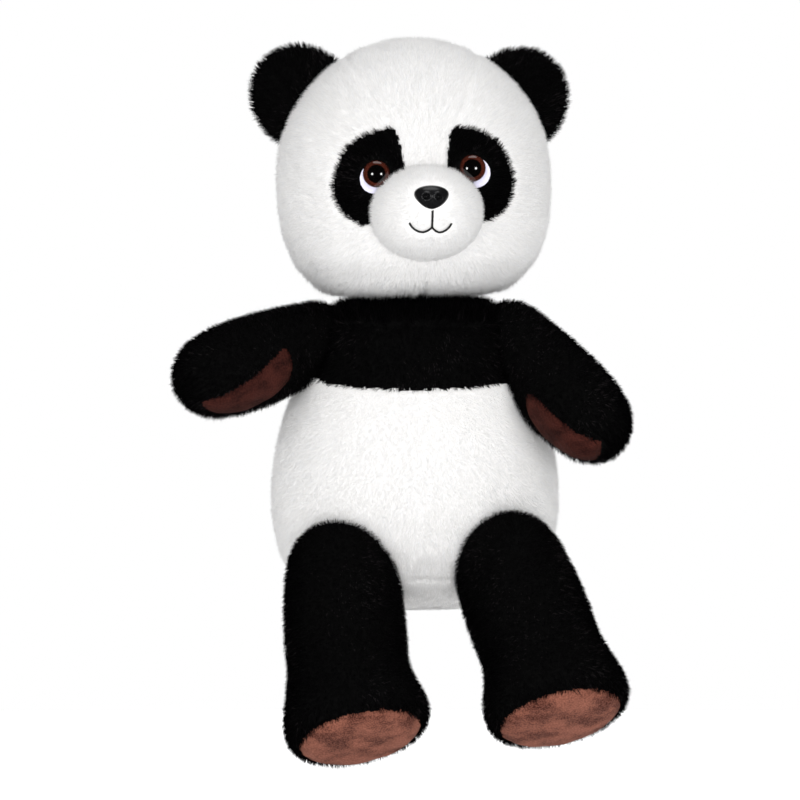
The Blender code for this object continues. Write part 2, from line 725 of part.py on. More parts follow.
def palm_outline(grow, pad):
    """The paw pad: straight along its upper seam, rounded below."""
    points = (
        (0.034, 0.005), (0.047, 0.0065), (0.062, 0.007), (0.078, 0.0065), (0.090, 0.003),
        (0.090, -0.003), (0.085, -0.010), (0.075, -0.0155), (0.060, -0.0175), (0.046, -0.015),
        (0.037, -0.0085), (0.033, 0.0),
    )
    down, round_, turn = pad
    middle = Vector((0.062, -0.003))
    turned = [middle + Matrix.Rotation(math.radians(turn), 2) @ (Vector(p) - middle) for p in points]
    return offset_loop(smooth_loop([p + Vector((down, round_)) for p in turned], 2), -grow)


def make_arm(name, limb, pivot):
    side = name.split("_")[1]
    shape = limb_shape(limb)
    down = limb["along"].normalized()
    palm = (limb["palm"] - down * limb["palm"].dot(down)).normalized()
    upper = down.cross(palm)
    if upper.y > 0:
        upper = -upper

    def on_palm(point):
        return down * point.x + upper * point.y + palm * point.z

    inner = as_cutter(prism_form(palm_outline(-GAP / 2, limb["pad"]), on_palm, 0.008, 0.06), f"{name}_pad_in", pivot)
    outer = as_cutter(prism_form(palm_outline(GAP / 2, limb["pad"]), on_palm, 0.008, 0.06), f"{name}_pad_out", pivot)
    skin = shell_form(shape, ARM_FINE)
    opening = rod_form(0.010, -down * 0.03, -down * 0.010, 16)
    cover = as_part(skin.copy(), f"arm_cover_{side}", "black_plush", pivot)
    cut(cover, outer)
    cut(cover, as_cutter(opening, f"{name}_opening", pivot))
    pad = as_part(skin.copy(), f"paw_pad_{side}", "brown_velour", pivot)
    cut(pad, inner, "INTERSECT")
    skin.free()
    as_part(soft_form(shape, ARM_FINE, -SKIN - GAP), f"arm_stuffing_{side}", "fibre_fill", pivot)


def make_leg(name, limb, pivot):
    side = name.split("_")[1]
    shape = limb_shape(limb)
    sole = limb["palm"].normalized()
    seam = min(limb_stations(limb), key=lambda s: abs(s[0] - SOLE_AT))[1]
    beyond = as_cutter(half_space(sole, seam + sole * GAP / 2), f"{name}_sole_in", pivot)
    before = as_cutter(half_space(sole, seam - sole * GAP / 2), f"{name}_sole_out", pivot)
    core = as_cutter(half_space(sole, seam - sole * GAP), f"{name}_core_out", pivot)
    opening = rod_form(0.012, -limb["along"].normalized() * 0.04, -limb["along"].normalized() * 0.014, 16)
    cover = as_part(shell_form(shape, LEG_FINE), f"leg_cover_{side}", "black_plush", pivot)
    cut(cover, before)
    cut(cover, as_cutter(opening, f"{name}_opening", pivot))
    pad = as_part(soft_form(shape, LEG_FINE), f"sole_pad_{side}", "brown_velour", pivot)
    cut(pad, beyond, "INTERSECT")
    fill = as_part(soft_form(shape, LEG_FINE, -SKIN - GAP), f"leg_stuffing_{side}", "fibre_fill", pivot)
    cut(fill, core)


def build():
    clear_scene()
    rooms = {name: limb_room(limb, name) for name, limb in LIMBS.items()}
    make_body(rooms)
    neck = empty("neck_pivot", NECK_PIVOT)
    make_neck(neck)
    head = empty("head_frame", HEAD_CENTRE, (0, HEAD_TILT, HEAD_TURN))
    socket = as_cutter(ball_form(NECK_SOCKET, NECK_PIVOT), "neck_socket")
    make_head(head, socket)
    for name, limb in LIMBS.items():
        pivot = empty(f"{name}_pivot", limb["at"])
        maker = make_arm if name.startswith("arm") else make_leg
        maker(name, limb, pivot)


build()
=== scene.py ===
"""The plush panda's looks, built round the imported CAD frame.

Every soft form is laid over its CAD nodes, remeshed and blown up by a cloth simulation that its
seams hold in. The pile is real geometry, combed over each panel. Sizes are in metres.
"""

import json
import math

import bmesh
import bpy
import numpy as np
from mathutils import Matrix, Vector, kdtree
from mathutils.bvhtree import BVHTree


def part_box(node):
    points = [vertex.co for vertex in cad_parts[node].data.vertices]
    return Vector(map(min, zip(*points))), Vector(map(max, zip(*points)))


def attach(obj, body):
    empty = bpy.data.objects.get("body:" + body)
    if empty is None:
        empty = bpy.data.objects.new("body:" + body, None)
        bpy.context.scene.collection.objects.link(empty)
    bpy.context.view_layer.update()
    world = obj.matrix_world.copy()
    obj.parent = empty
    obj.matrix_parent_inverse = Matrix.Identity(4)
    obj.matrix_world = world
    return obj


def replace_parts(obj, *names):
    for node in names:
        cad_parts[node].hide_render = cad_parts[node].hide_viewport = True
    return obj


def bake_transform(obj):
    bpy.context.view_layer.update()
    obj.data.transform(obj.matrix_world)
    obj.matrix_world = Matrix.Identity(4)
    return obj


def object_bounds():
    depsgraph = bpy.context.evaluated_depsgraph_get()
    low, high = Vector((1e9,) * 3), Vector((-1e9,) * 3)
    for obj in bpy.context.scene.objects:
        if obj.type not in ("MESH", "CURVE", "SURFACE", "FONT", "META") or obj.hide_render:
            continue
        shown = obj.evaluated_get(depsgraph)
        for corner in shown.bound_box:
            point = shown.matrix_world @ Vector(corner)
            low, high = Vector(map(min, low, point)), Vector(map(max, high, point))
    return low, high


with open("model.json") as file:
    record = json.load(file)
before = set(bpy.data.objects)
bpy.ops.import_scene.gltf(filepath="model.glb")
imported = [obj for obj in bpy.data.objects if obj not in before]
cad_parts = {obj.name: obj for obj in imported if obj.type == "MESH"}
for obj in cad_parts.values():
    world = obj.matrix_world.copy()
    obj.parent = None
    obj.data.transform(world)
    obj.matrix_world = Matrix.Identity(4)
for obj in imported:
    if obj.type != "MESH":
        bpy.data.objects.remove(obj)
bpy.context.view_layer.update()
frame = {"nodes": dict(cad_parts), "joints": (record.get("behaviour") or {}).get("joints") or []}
NODES = frame["nodes"]


def joint_of(body):
    """The joint that a body hangs on."""
    return next(joint for joint in frame["joints"] if joint["child"] == body)


NECK_AT = np.array(joint_of("neck")["pos_m"])

# ---------------------------------------------------------------- sizes and colours
MM = 0.001
SIDES = ("left", "right")

# the tints of the strands, and the share of them that has each
WHITES = ((0.955, 0.95, 0.945), (0.925, 0.92, 0.915), (0.965, 0.955, 0.94), (0.895, 0.90, 0.915))
BLACKS = (
    (0.0009, 0.0007, 0.0010),
    (0.0018, 0.0014, 0.0019),
    (0.0004, 0.0003, 0.0005),
    # the fourth tint, lighter than the rest and given to a few strands only, is a painted glint in the
    # black pile
    (0.020, 0.017, 0.018),
)
TINT_SHARES = {"white": (0.35, 0.30, 0.20, 0.15), "black": (0.42, 0.30, 0.26, 0.02)}

# pile: length and root width in mm, strands a square mm, lean from upright in degrees,
# how far strands gather into locks, how wide a lock is in mm, and whether a strand bends
PILES = {
    "white": dict(length=3.8, width=0.34, density=1.8, lean=40, gather=0.24, lock=1.9, bend=False),
    "muzzle": dict(length=2.9, width=0.32, density=2.8, lean=32, gather=0.42, lock=1.6, bend=False),
    "black": dict(length=4.2, width=0.50, density=1.2, lean=40, gather=0.48, lock=2.2, bend=False),
    "patch": dict(length=4.2, width=0.34, density=1.9, lean=50, gather=0.38, lock=2.0, bend=True),
    "ear": dict(length=4.8, width=0.42, density=1.5, lean=36, gather=0.45, lock=2.2, bend=False),
}
SEAM_REACH = 3.0 * MM  # the pile is shorter this near to a seam
SEAM_LENGTH = {"white": 0.60, "black": 0.95}  # and has this share of its length on the seam
SEAM_WANDER = 0.9 * MM  # how unevenly the pile of two panels meets
SKIN_SHARE = {"white": 0.45, "black": 0.25}  # how far strands shade as the cloth under them does
SEAM_SINK, SEAM_WIDTH = 0.8 * MM, 1.3 * MM  # the groove of a seam in the skin
SEAM_HELD = 3.0 * MM  # the stuffing can't move the skin this near to a seam
NECK_CLEAR, NECK_FADE = 36 * MM, 16 * MM  # skins are raised only this far from the neck and further
ROOT_DEPTH = 0.35 * MM  # how far below the skin a strand starts
HIDDEN = -2.0 * MM  # a skin this far inside another one has no pile
CHIN_RISE, CHIN_REACH = 24 * MM, 14 * MM  # the long pile of the chin ends this far above the neck
COLLAR_DROP, COLLAR_REACH = 22 * MM, 10 * MM  # and that of the yoke's top this far below it
RIM_DROP, RIM_REACH = 18 * MM, 6 * MM  # the yoke's pile stands up above this far below it
SEAT_RISE, SEAT_REACH = 3 * MM, 12 * MM  # the pile is pressed flat below this height
FACE_DEPTH = 20 * MM  # further behind the eyes than this is the back of the head
SKIN_VOXEL, LIMB_VOXEL, EAR_VOXEL, MUZZLE_VOXEL = 3.6 * MM, 3.2 * MM, 2.6 * MM, 2.4 * MM
HEAD_BEND = (2 * MM, 28 * MM)  # the head bends between these heights above its lowest point

EYE_RADIUS, EYE_DOME = 7.5 * MM, 4.2 * MM
PUPIL_SHARE, RIM_SHARE = 0.67, 0.94
EYE_AHEAD = 0.9  # how far a dome is pressed round to look straight ahead
EYE_BAND = 0.35 * MM  # the upright band round the foot of a dome
SHANK_RADIUS, SHANK_LENGTH = 2.0 * MM, 9.5 * MM
FELT_RADIUS, FELT_THICK = 8.2 * MM, 1.0 * MM

NOSE_DEPTH = 5.6 * MM
NOSTRIL_APART, NOSTRIL_DOWN = 3.4 * MM, 0.3 * MM
NOSTRIL_HALF = (1.65 * MM, 1.50 * MM)
NOSTRIL_DEPTH, NOSTRIL_LIP = 2.8 * MM, 0.50 * MM

THREAD_HALF = (0.80 * MM, 0.30 * MM, 0.42 * MM)  # one stitch: half its length, width and height
THREAD_LIFT = 0.75 * MM
PAD_LIFT, PAD_THICK, PAD_EDGE = 0.55 * MM, 1.2 * MM, 2.5 * MM


# ---------------------------------------------------------------- camera, light and floor
def make_camera():
    """Level, in front, and far off, as a product photograph is taken with a long lens."""
    far, across, plane = 6.0, 0.440, -0.050
    aside, height = -0.00825, 0.11385
    data = bpy.data.cameras.new("camera")
    data.lens = data.sensor_width * far / across
    data.clip_end = 60
    made = bpy.data.objects.new("camera", data)
    made.location = (aside, plane - far, height)
    made.rotation_euler = (math.radians(90), 0, 0)
    bpy.context.scene.collection.objects.link(made)
    bpy.context.scene.camera = made


def add_light(name, place, aim, size, power):
    """A round area light at a place, turned to its aim."""
    data = bpy.data.lights.new(name, "AREA")
    data.shape = "DISK"
    data.size = size
    data.energy = power
    made = bpy.data.objects.new(name, data)
    made.location = place
    made.rotation_euler = (Vector(aim) - Vector(place)).to_track_quat("-Z", "Y").to_euler()
    bpy.context.scene.collection.objects.link(made)
    return made


def make_light():
    """A white studio: soft light all round, broad lights in front, and two small ones for glints."""
    world = bpy.data.worlds.new("studio")
    bpy.context.scene.world = world
    world.use_nodes = True
    world.cycles_visibility.glossy = False
    tree = world.node_tree
    tree.nodes.clear()
    path = tree.nodes.new("ShaderNodeLightPath")
    out = tree.nodes.new("ShaderNodeOutputWorld")
    mix = tree.nodes.new("ShaderNodeMixShader")
    tree.links.new(path.outputs["Is Camera Ray"], mix.inputs["Fac"])
    for socket, strength in ((1, 0.70), (2, 1.0)):
        shine = tree.nodes.new("ShaderNodeBackground")
        shine.inputs["Color"].default_value = (1, 1, 1, 1)
        shine.inputs["Strength"].default_value = strength
        tree.links.new(shine.outputs[0], mix.inputs[socket])
    tree.links.new(mix.outputs[0], out.inputs["Surface"])
    aim = (0, 0, 0.12)
    for side, name in ((1, "left"), (-1, "right")):
        turn = math.radians(20 * side)
        way = Vector((math.sin(turn), -math.cos(turn), 0))
        add_light(f"glint_{name}", way * 1.25 + Vector((0, 0, 0.245)), (0, 0, 0.235), 0.20, 1.6)
        broad = add_light(f"broad_{name}", way * 1.9 + Vector((side * 0.5, 0, 0.75)), aim, 1.3, 6.8)
        broad.visible_glossy = False
    add_light("low", (0, -1.5, 0.0), aim, 1.2, 3.2).visible_glossy = False
    add_light("top", (0.1, -0.2, 2.0), aim, 1.4, 8)
    add_light("back", (0.0, 1.8, 0.6), aim, 1.2, 9).visible_glossy = False


def make_floor(height):
    """A round pale floor that glows faintly, so that it meets the backdrop without an edge."""
    bm = bmesh.new()
    bmesh.ops.create_circle(bm, cap_ends=True, segments=96, radius=1.1)
    bmesh.ops.translate(bm, verts=bm.verts, vec=(0, 0, height))
    pale = noise_material("floor", (0.50, 0.50, 0.50), (0.48, 0.48, 0.48), 30, 0.9)
    shader = pale.node_tree.nodes["Principled BSDF"]
    shader.inputs["Emission Color"].default_value = (1, 1, 1, 1)
    shader.inputs["Emission Strength"].default_value = 0.92
    floor = as_piece(bm, "floor", [pale])
    floor.visible_glossy = False


# ---------------------------------------------------------------- materials
def new_material(name):
    made = bpy.data.materials.new(name)
    made.use_nodes = True
    return made, made.node_tree, made.node_tree.nodes["Principled BSDF"]


def noise(tree, scale, detail=3.0, stretch=(1, 1, 1)):
    """The value of a noise, in the object's own space; scale is in bumps a metre."""
    where = tree.nodes.new("ShaderNodeTexCoord")
    grow = tree.nodes.new("ShaderNodeMapping")
    grow.inputs["Scale"].default_value = stretch
    made = tree.nodes.new("ShaderNodeTexNoise")
    made.inputs["Scale"].default_value = scale
    made.inputs["Detail"].default_value = detail
    tree.links.new(where.outputs["Object"], grow.inputs["Vector"])
    tree.links.new(grow.outputs["Vector"], made.inputs["Vector"])
    return made.outputs["Fac"]


def ranged(tree, value, low, high, frm=(0.3, 0.7)):
    """A value mapped from one range to another, and kept within it."""
    made = tree.nodes.new("ShaderNodeMapRange")
    made.inputs["From Min"].default_value = frm[0]
    made.inputs["From Max"].default_value = frm[1]
    made.inputs["To Min"].default_value = low
    made.inputs["To Max"].default_value = high
    tree.links.new(value, made.inputs["Value"])
    return made.outputs["Result"]


def mixed(tree, factor, a, b):
    """One colour or another; each is a tuple or a node's output, and factor a number or an output."""
    made = tree.nodes.new("ShaderNodeMix")
    made.data_type = "RGBA"
    if isinstance(factor, float):
        made.inputs["Factor"].default_value = factor
    else:
        tree.links.new(factor, made.inputs["Factor"])
    for socket, colour in ((made.inputs[6], a), (made.inputs[7], b)):
        if isinstance(colour, tuple):
            socket.default_value = (*colour, 1)
        else:
            tree.links.new(colour, socket)
    return made.outputs[2]


def bumped(tree, shader, height, distance):
    """Dents of that depth in a shader's surface."""
    made = tree.nodes.new("ShaderNodeBump")
    made.inputs["Distance"].default_value = distance
    tree.links.new(height, made.inputs["Height"])
    tree.links.new(made.outputs["Normal"], shader.inputs["Normal"])


def noise_material(name, light, dark, scale, roughness, bump=0.0, sheen=0.0, specular=0.5):
    """A plain surface, mottled finely between two shades of its colour."""
    made, tree, shader = new_material(name)
    value = noise(tree, scale)
    tree.links.new(mixed(tree, ranged(tree, value, 0, 1), dark, light), shader.inputs["Base Color"])
    shader.inputs["Roughness"].default_value = roughness
    shader.inputs["Sheen Weight"].default_value = sheen
    shader.inputs["Specular IOR Level"].default_value = specular
    if bump:
        bumped(tree, shader, noise(tree, scale * 6), bump)
    return made


def pile_material(name, colour, roughness, specular, sheen):
    """One tint of the pile. Its colour is plain, and its gloss and bloom vary over the cloth."""
    made, tree, shader = new_material(name)
    shader.inputs["Base Color"].default_value = (*colour, 1)
    shader.inputs["Roughness"].default_value = roughness
    gloss = ranged(tree, noise(tree, 900), specular[0], specular[1])
    tree.links.new(gloss, shader.inputs["Specular IOR Level"])
    bloom = ranged(tree, noise(tree, 60), sheen[0], sheen[1])
    tree.links.new(bloom, shader.inputs["Sheen Weight"])
    shader.inputs["Sheen Roughness"].default_value = 0.5
    return made


def make_pile_materials():
    made = {"white": [], "black": []}
    for i, colour in enumerate(WHITES):
        made["white"].append(pile_material(f"white_pile_{i}", colour, 0.75, (0.10, 0.35), (0.0, 0.15)))
    for i, colour in enumerate(BLACKS):
        made["black"].append(pile_material(f"black_pile_{i}", colour, 0.50, (0.02, 0.11), (0.0, 0.002)))
    return made


# ---------------------------------------------------------------- meshes
def as_piece(bm, name, materials, place=None):
    """An object from a bmesh, which this frees."""
    mesh = bpy.data.meshes.new(name)
    bm.to_mesh(mesh)
    bm.free()
    mesh.shade_smooth()
    for item in materials:
        mesh.materials.append(item)
    made = bpy.data.objects.new(name, mesh)
    if place is not None:
        made.matrix_world = place
    bpy.context.scene.collection.objects.link(made)
    return made


def settle(piece):
    """Applies the piece's modifiers to its mesh."""
    graph = bpy.context.evaluated_depsgraph_get()
    mesh = bpy.data.meshes.new_from_object(piece.evaluated_get(graph), depsgraph=graph)
    old = piece.data
    piece.modifiers.clear()
    piece.data = mesh
    bpy.data.meshes.remove(old)
    mesh.name = piece.name
    mesh.shade_smooth()


def points_of(mesh):
    flat = np.empty(len(mesh.vertices) * 3, np.float64)
    mesh.vertices.foreach_get("co", flat)
    return flat.reshape(-1, 3)


def normals_of(mesh):
    flat = np.empty(len(mesh.vertices) * 3, np.float32)
    mesh.vertex_normals.foreach_get("vector", flat)
    return flat.reshape(-1, 3).astype(np.float64)


def set_points(mesh, points):
    mesh.vertices.foreach_set("co", np.asarray(points, np.float32).ravel())
    mesh.update()


def unit(vectors):
    length = np.linalg.norm(vectors, axis=-1, keepdims=True)
    return vectors / np.maximum(length, 1e-12)


def tree_of(node):
    """A search tree of a CAD node's faces."""
    mesh = NODES[node].data
    return BVHTree.FromPolygons([v.co for v in mesh.vertices], [p.vertices for p in mesh.polygons])


def smooth_points(points, edges, rounds, share=0.5):
    """Each point moves towards the middle of its neighbours."""
    count = np.bincount(edges.ravel(), minlength=len(points))[:, None]
    for _ in range(rounds):
        total = np.zeros_like(points)
        for axis in range(3):
            total[:, axis] = np.bincount(edges[:, 0], points[edges[:, 1], axis], len(points))
            total[:, axis] += np.bincount(edges[:, 1], points[edges[:, 0], axis], len(points))
        points = points + share * (total / np.maximum(count, 1) - points)
    return points


def edges_of(mesh):
    flat = np.empty(len(mesh.edges) * 2, np.int32)
    mesh.edges.foreach_get("vertices", flat)
    return flat.reshape(-1, 2)


# ---------------------------------------------------------------- soft forms
def closed_form(name, nodes, voxel, hull=True):
    """One even closed form over some CAD nodes."""
    bm = bmesh.new()
    for node in nodes:
        bm.from_mesh(NODES[node].data)
    if hull:
        points = [v.co.copy() for v in bm.verts]
        bm.free()
        bm = bmesh.new()
        for point in points:
            bm.verts.new(point)
        made = bmesh.ops.convex_hull(bm, input=bm.verts)
        spare = made["geom_interior"] + made["geom_unused"]
        loose = {item for item in spare if isinstance(item, bmesh.types.BMVert)}
        bmesh.ops.delete(bm, geom=list(loose), context="VERTS")
        bmesh.ops.recalc_face_normals(bm, faces=bm.faces)
    piece = as_piece(bm, name, [])
    even = piece.modifiers.new("even", "REMESH")
    even.mode = "VOXEL"
    even.voxel_size = voxel
    settle(piece)
    keep_largest(piece.data)
    points = points_of(piece.data)
    for share in (0.5, -0.53) * 5:
        points = smooth_points(points, edges_of(piece.data), 1, share)
    set_points(piece.data, points)
    return piece


def keep_largest(mesh):
    """Drops everything but the largest connected part."""
    bm = bmesh.new()
    bm.from_mesh(mesh)
    seen, best = set(), []
    for start in bm.verts:
        if start in seen:
            continue
        island, front = [], [start]
        seen.add(start)
        while front:
            v = front.pop()
            island.append(v)
            for edge in v.link_edges:
                other = edge.other_vert(v)
                if other not in seen:
                    seen.add(other)
                    front.append(other)
        if len(island) > len(best):
            best = island
    wanted = set(best)
    bmesh.ops.delete(bm, geom=[v for v in bm.verts if v not in wanted], context="VERTS")
    bm.to_mesh(mesh)
    bm.free()


def panel_distances(points, panels):
    """How far each point is from each panel's CAD node, a column a panel."""
    made = np.empty((len(points), len(panels)))
    for column, panel in enumerate(panels):
        tree = tree_of(panel)
        made[:, column] = [tree.find_nearest(p)[3] for p in points.tolist()]
    return made


def seam_distance(distances):
    """How far the second nearest panel is: 0 on a seam."""
    if distances.shape[1] < 2:
        return np.full(len(distances), 1.0)
    ordered = np.sort(distances, axis=1)
    return np.maximum(0, ordered[:, 1] - ordered[:, 0] * 0.5)


def inflate(piece, panels, cap):
    """Blows the form up as stuffing does, with its seams held. No point moves further than cap."""
    mesh = piece.data
    start = points_of(mesh)
    seam = seam_distance(panel_distances(start, panels))
    held = piece.vertex_groups.new(name="seams")
    for index in np.nonzero(seam < SEAM_HELD)[0].tolist():
        held.add([index], 1.0, "REPLACE")
    cloth = piece.modifiers.new("stuffing", "CLOTH")
    setting = cloth.settings
    setting.quality = 5
    setting.mass = 0.15
    setting.tension_stiffness = 12
    setting.compression_stiffness = 12
    setting.shear_stiffness = 6
    setting.bending_stiffness = 0.6
    setting.use_pressure = True
    setting.uniform_pressure_force = 4
    setting.effector_weights.gravity = 0
    setting.vertex_group_mass = "seams"
    cloth.collision_settings.use_collision = False
    scene = bpy.context.scene
    for number in range(1, 21):
        scene.frame_set(number)
    graph = bpy.context.evaluated_depsgraph_get()
    blown = piece.evaluated_get(graph).to_mesh()
    moved = points_of(blown) - start
    piece.evaluated_get(graph).to_mesh_clear()
    piece.modifiers.clear()
    piece.vertex_groups.clear()
    scene.frame_set(1)
    length = np.linalg.norm(moved, axis=1, keepdims=True)
    moved *= np.minimum(1, cap / np.maximum(length, 1e-9))
    set_points(mesh, smooth_points(start + moved, edges_of(mesh), 2))


def shown_form(name, nodes, panels, voxel=SKIN_VOXEL, hull=True, cap=2.2 * MM, pile=0.0):
    """A skin: even, stuffed, divided once, raised to its dense pile, and drawn in along its seams."""
    piece = closed_form(name, nodes, voxel, hull)
    inflate(piece, panels, cap)
    fine = piece.modifiers.new("fine", "SUBSURF")
    fine.levels = fine.render_levels = 1
    settle(piece)
    mesh = piece.data
    points = points_of(mesh)
    near = panel_distances(points, panels)
    sink = SEAM_SINK * np.exp(-((seam_distance(near) / SEAM_WIDTH) ** 2))
    to_neck = np.linalg.norm((points - NECK_AT) * (1, 1, 2), axis=1)
    raised = pile * np.clip((to_neck - NECK_CLEAR) / NECK_FADE, 0, 1)
    set_points(mesh, points + normals_of(mesh) * (raised - sink)[:, None])
    return {"piece": piece, "near": near, "panels": panels}


def finish_skin(skin, slots):
    """Gives each face of a skin its panel's material; slots has a material a panel."""
    mesh = skin["piece"].data
    mesh.materials.clear()
    kinds = []
    for panel in skin["panels"]:
        if slots[panel] not in kinds:
            kinds.append(slots[panel])
            mesh.materials.append(slots[panel])
    of_panel = np.array([kinds.index(slots[panel]) for panel in skin["panels"]])
    faces = np.empty((len(mesh.polygons), 4), np.int32)
    mesh.polygons.foreach_get("vertices", faces.ravel())
    index = of_panel[np.argmin(skin["near"][faces].mean(1), axis=1)]
    mesh.polygons.foreach_set("material_index", index.astype(np.int32))
    skin["points"] = points_of(mesh)
    skin["normals"] = normals_of(mesh)
    mesh.calc_loop_triangles()
    flat = np.empty(len(mesh.loop_triangles) * 3, np.int32)
    mesh.loop_triangles.foreach_get("vertices", flat)
    skin["triangles"] = flat.reshape(-1, 3)
    skin["faces"] = faces
    skin["tree"] = BVHTree.FromPolygons(skin["points"].tolist(), faces.tolist())


def depth_in(skin, other, reach=30 * MM):
    """How far outside another skin each point of this one is, below 0 inside it."""
    made = np.full(len(skin["points"]), reach)
    corner_normals = other["normals"][other["faces"]].mean(axis=1)
    for i, point in enumerate(skin["points"].tolist()):
        at, _, face, gap = other["tree"].find_nearest(point, reach)
        if at is not None:
            outward = (Vector(point) - at).dot(Vector(corner_normals[face]))
            made[i] = gap if outward > 0 else -gap
    return made


# ---------------------------------------------------------------- pile
def scatter(skin, column, density, rng):
    """Points spread evenly over one panel of a skin, as corner indices and shares of triangles."""
    corners = skin["triangles"]
    points = skin["points"]
    nearest = np.argmin(skin["near"], axis=1)
    corners = corners[(nearest[corners] == column).any(axis=1)]
    a, b, c = (points[corners[:, k]] for k in range(3))
    area = np.linalg.norm(np.cross(b - a, c - a), axis=1) / 2
    total = np.cumsum(area)
    count = int(total[-1] * density * 1e6)
    at = (np.arange(count) + rng.random(count)) / count * total[-1]
    chosen = corners[np.minimum(np.searchsorted(total, at), len(corners) - 1)]
    u, v = rng.random(count), rng.random(count)
    over = u + v > 1
    u[over], v[over] = 1 - u[over], 1 - v[over]
    return chosen, np.stack([1 - u - v, u, v], axis=1)


def between(values, corners, shares):
    """Values of a skin's points, read between a triangle's corners."""
    if values.ndim == 1:
        return (values[corners] * shares).sum(1)
    return (values[corners] * shares[..., None]).sum(1)


def point_tree(points):
    """A search tree of points."""
    tree = kdtree.KDTree(len(points))
    for i, point in enumerate(points.tolist()):
        tree.insert(point, i)
    tree.balance()
    return tree


def waves(points, size, seed):
    """A smooth field of vectors that swings over the cloth in waves of about that size."""
    rng = np.random.default_rng(seed)
    made = np.zeros_like(points)
    for _ in range(5):
        way = unit(rng.normal(size=3)) * 2 * math.pi / (size * rng.uniform(0.7, 1.6))
        made += np.sin(points @ way + rng.uniform(0, 6.28))[:, None] * rng.normal(size=3)
    return made / 3


def grow_pile(skin, panel, kind, comb, seed, bare=None, longer=None, buried=False):
    """The pile of one panel: tapered strands that lean along the comb and gather into locks.

    Where the skin runs inside another one it has no pile, unless that may move away (buried):
    then the pile there is short enough not to poke out.
    """
    style = PILES[kind]
    tint = "white" if kind in ("white", "muzzle") else "black"
    rng = np.random.default_rng(seed)
    column = skin["panels"].index(panel)
    corners, shares = scatter(skin, column, style["density"], rng)
    near = between(skin["near"], corners, shares)
    uneven = np.abs(waves(between(skin["points"], corners, shares), 4 * MM, 3)) * SEAM_WANDER
    near[:, column] -= (uneven[:, 0] - uneven[:, 1]) * (1 if tint == "black" else -1)
    kept = np.argmin(near, axis=1) == column
    kept &= buried | (between(skin["outside"], corners, shares) > HIDDEN)
    corners, shares, near = corners[kept], shares[kept], near[kept]
    inside = -between(skin["outside"], corners, shares) / (style["length"] * MM)
    root = between(skin["points"], corners, shares)
    normal = unit(between(skin["normals"], corners, shares))
    seam = seam_distance(near)
    size = SEAM_LENGTH[tint] + (1 - SEAM_LENGTH[tint]) * np.clip(seam / SEAM_REACH, 0, 1)
    size *= rng.uniform(0.78, 1.15, len(root))
    size *= np.where(inside > 0.4, np.clip(inside * 0.8, 0.3, 1), 1)
    if bare is not None:
        size *= bare(root)
    if longer is not None:
        size *= longer(root)
    kept = size > 0.15
    root, normal, size = root[kept], normal[kept], size[kept]

    along = comb(root, normal) + 0.30 * waves(root, 22 * MM, seed) + 0.22 * waves(root, 7 * MM, seed + 1)
    along = unit(along - normal * (along * normal).sum(1, keepdims=True))
    lean = np.radians(style["lean"] + rng.normal(0, 7, len(root)))[:, None]
    start = unit(normal * np.cos(lean - 0.25) + along * np.sin(lean - 0.25))
    end = unit(normal * np.cos(lean + 0.30) + along * np.sin(lean + 0.30))
    wild = rng.normal(0, 0.16, (len(root), 3))
    length = (style["length"] * MM * size)[:, None]
    middle = root + unit(start + wild) * length * 0.5
    tip = middle + unit(end + wild * 1.5) * length * 0.5

    locks = max(1, int(len(root) / (style["density"] * style["lock"] ** 2)))
    pick = rng.permutation(len(root))[:locks]
    tree = point_tree(root[pick])
    lock = pick[[tree.find(p)[1] for p in root.tolist()]]
    gather = style["gather"] * rng.uniform(0.4, 1.0, len(root))[:, None]
    tip = tip + (tip[lock] + (root - root[lock]) * 0.35 - tip) * gather
    middle = middle + (middle[lock] + (root - root[lock]) * 0.7 - middle) * gather * 0.5

    root = root - normal * ROOT_DEPTH
    width = style["width"] * MM * rng.uniform(0.7, 1.2, len(root)) / 2
    shade = (normal, SKIN_SHARE[tint])
    mesh = strand_mesh(f"{panel}_pile", root, middle, tip, width, style["bend"], shade, rng)
    per = 6 if style["bend"] else 3
    share = np.array(TINT_SHARES[tint])
    patchy = np.clip(rng.random(len(root)) + 0.12 * waves(root, 30 * MM, 7)[:, 0], 0, 0.9999)
    which = np.searchsorted(np.cumsum(share), patchy)
    mesh.polygons.foreach_set("material_index", np.repeat(np.minimum(which, 3), per).astype(np.int32))
    for item in PILE_MATERIALS[tint]:
        mesh.materials.append(item)
    made = bpy.data.objects.new(f"{panel}_pile", mesh)
    bpy.context.scene.collection.objects.link(made)
    return made


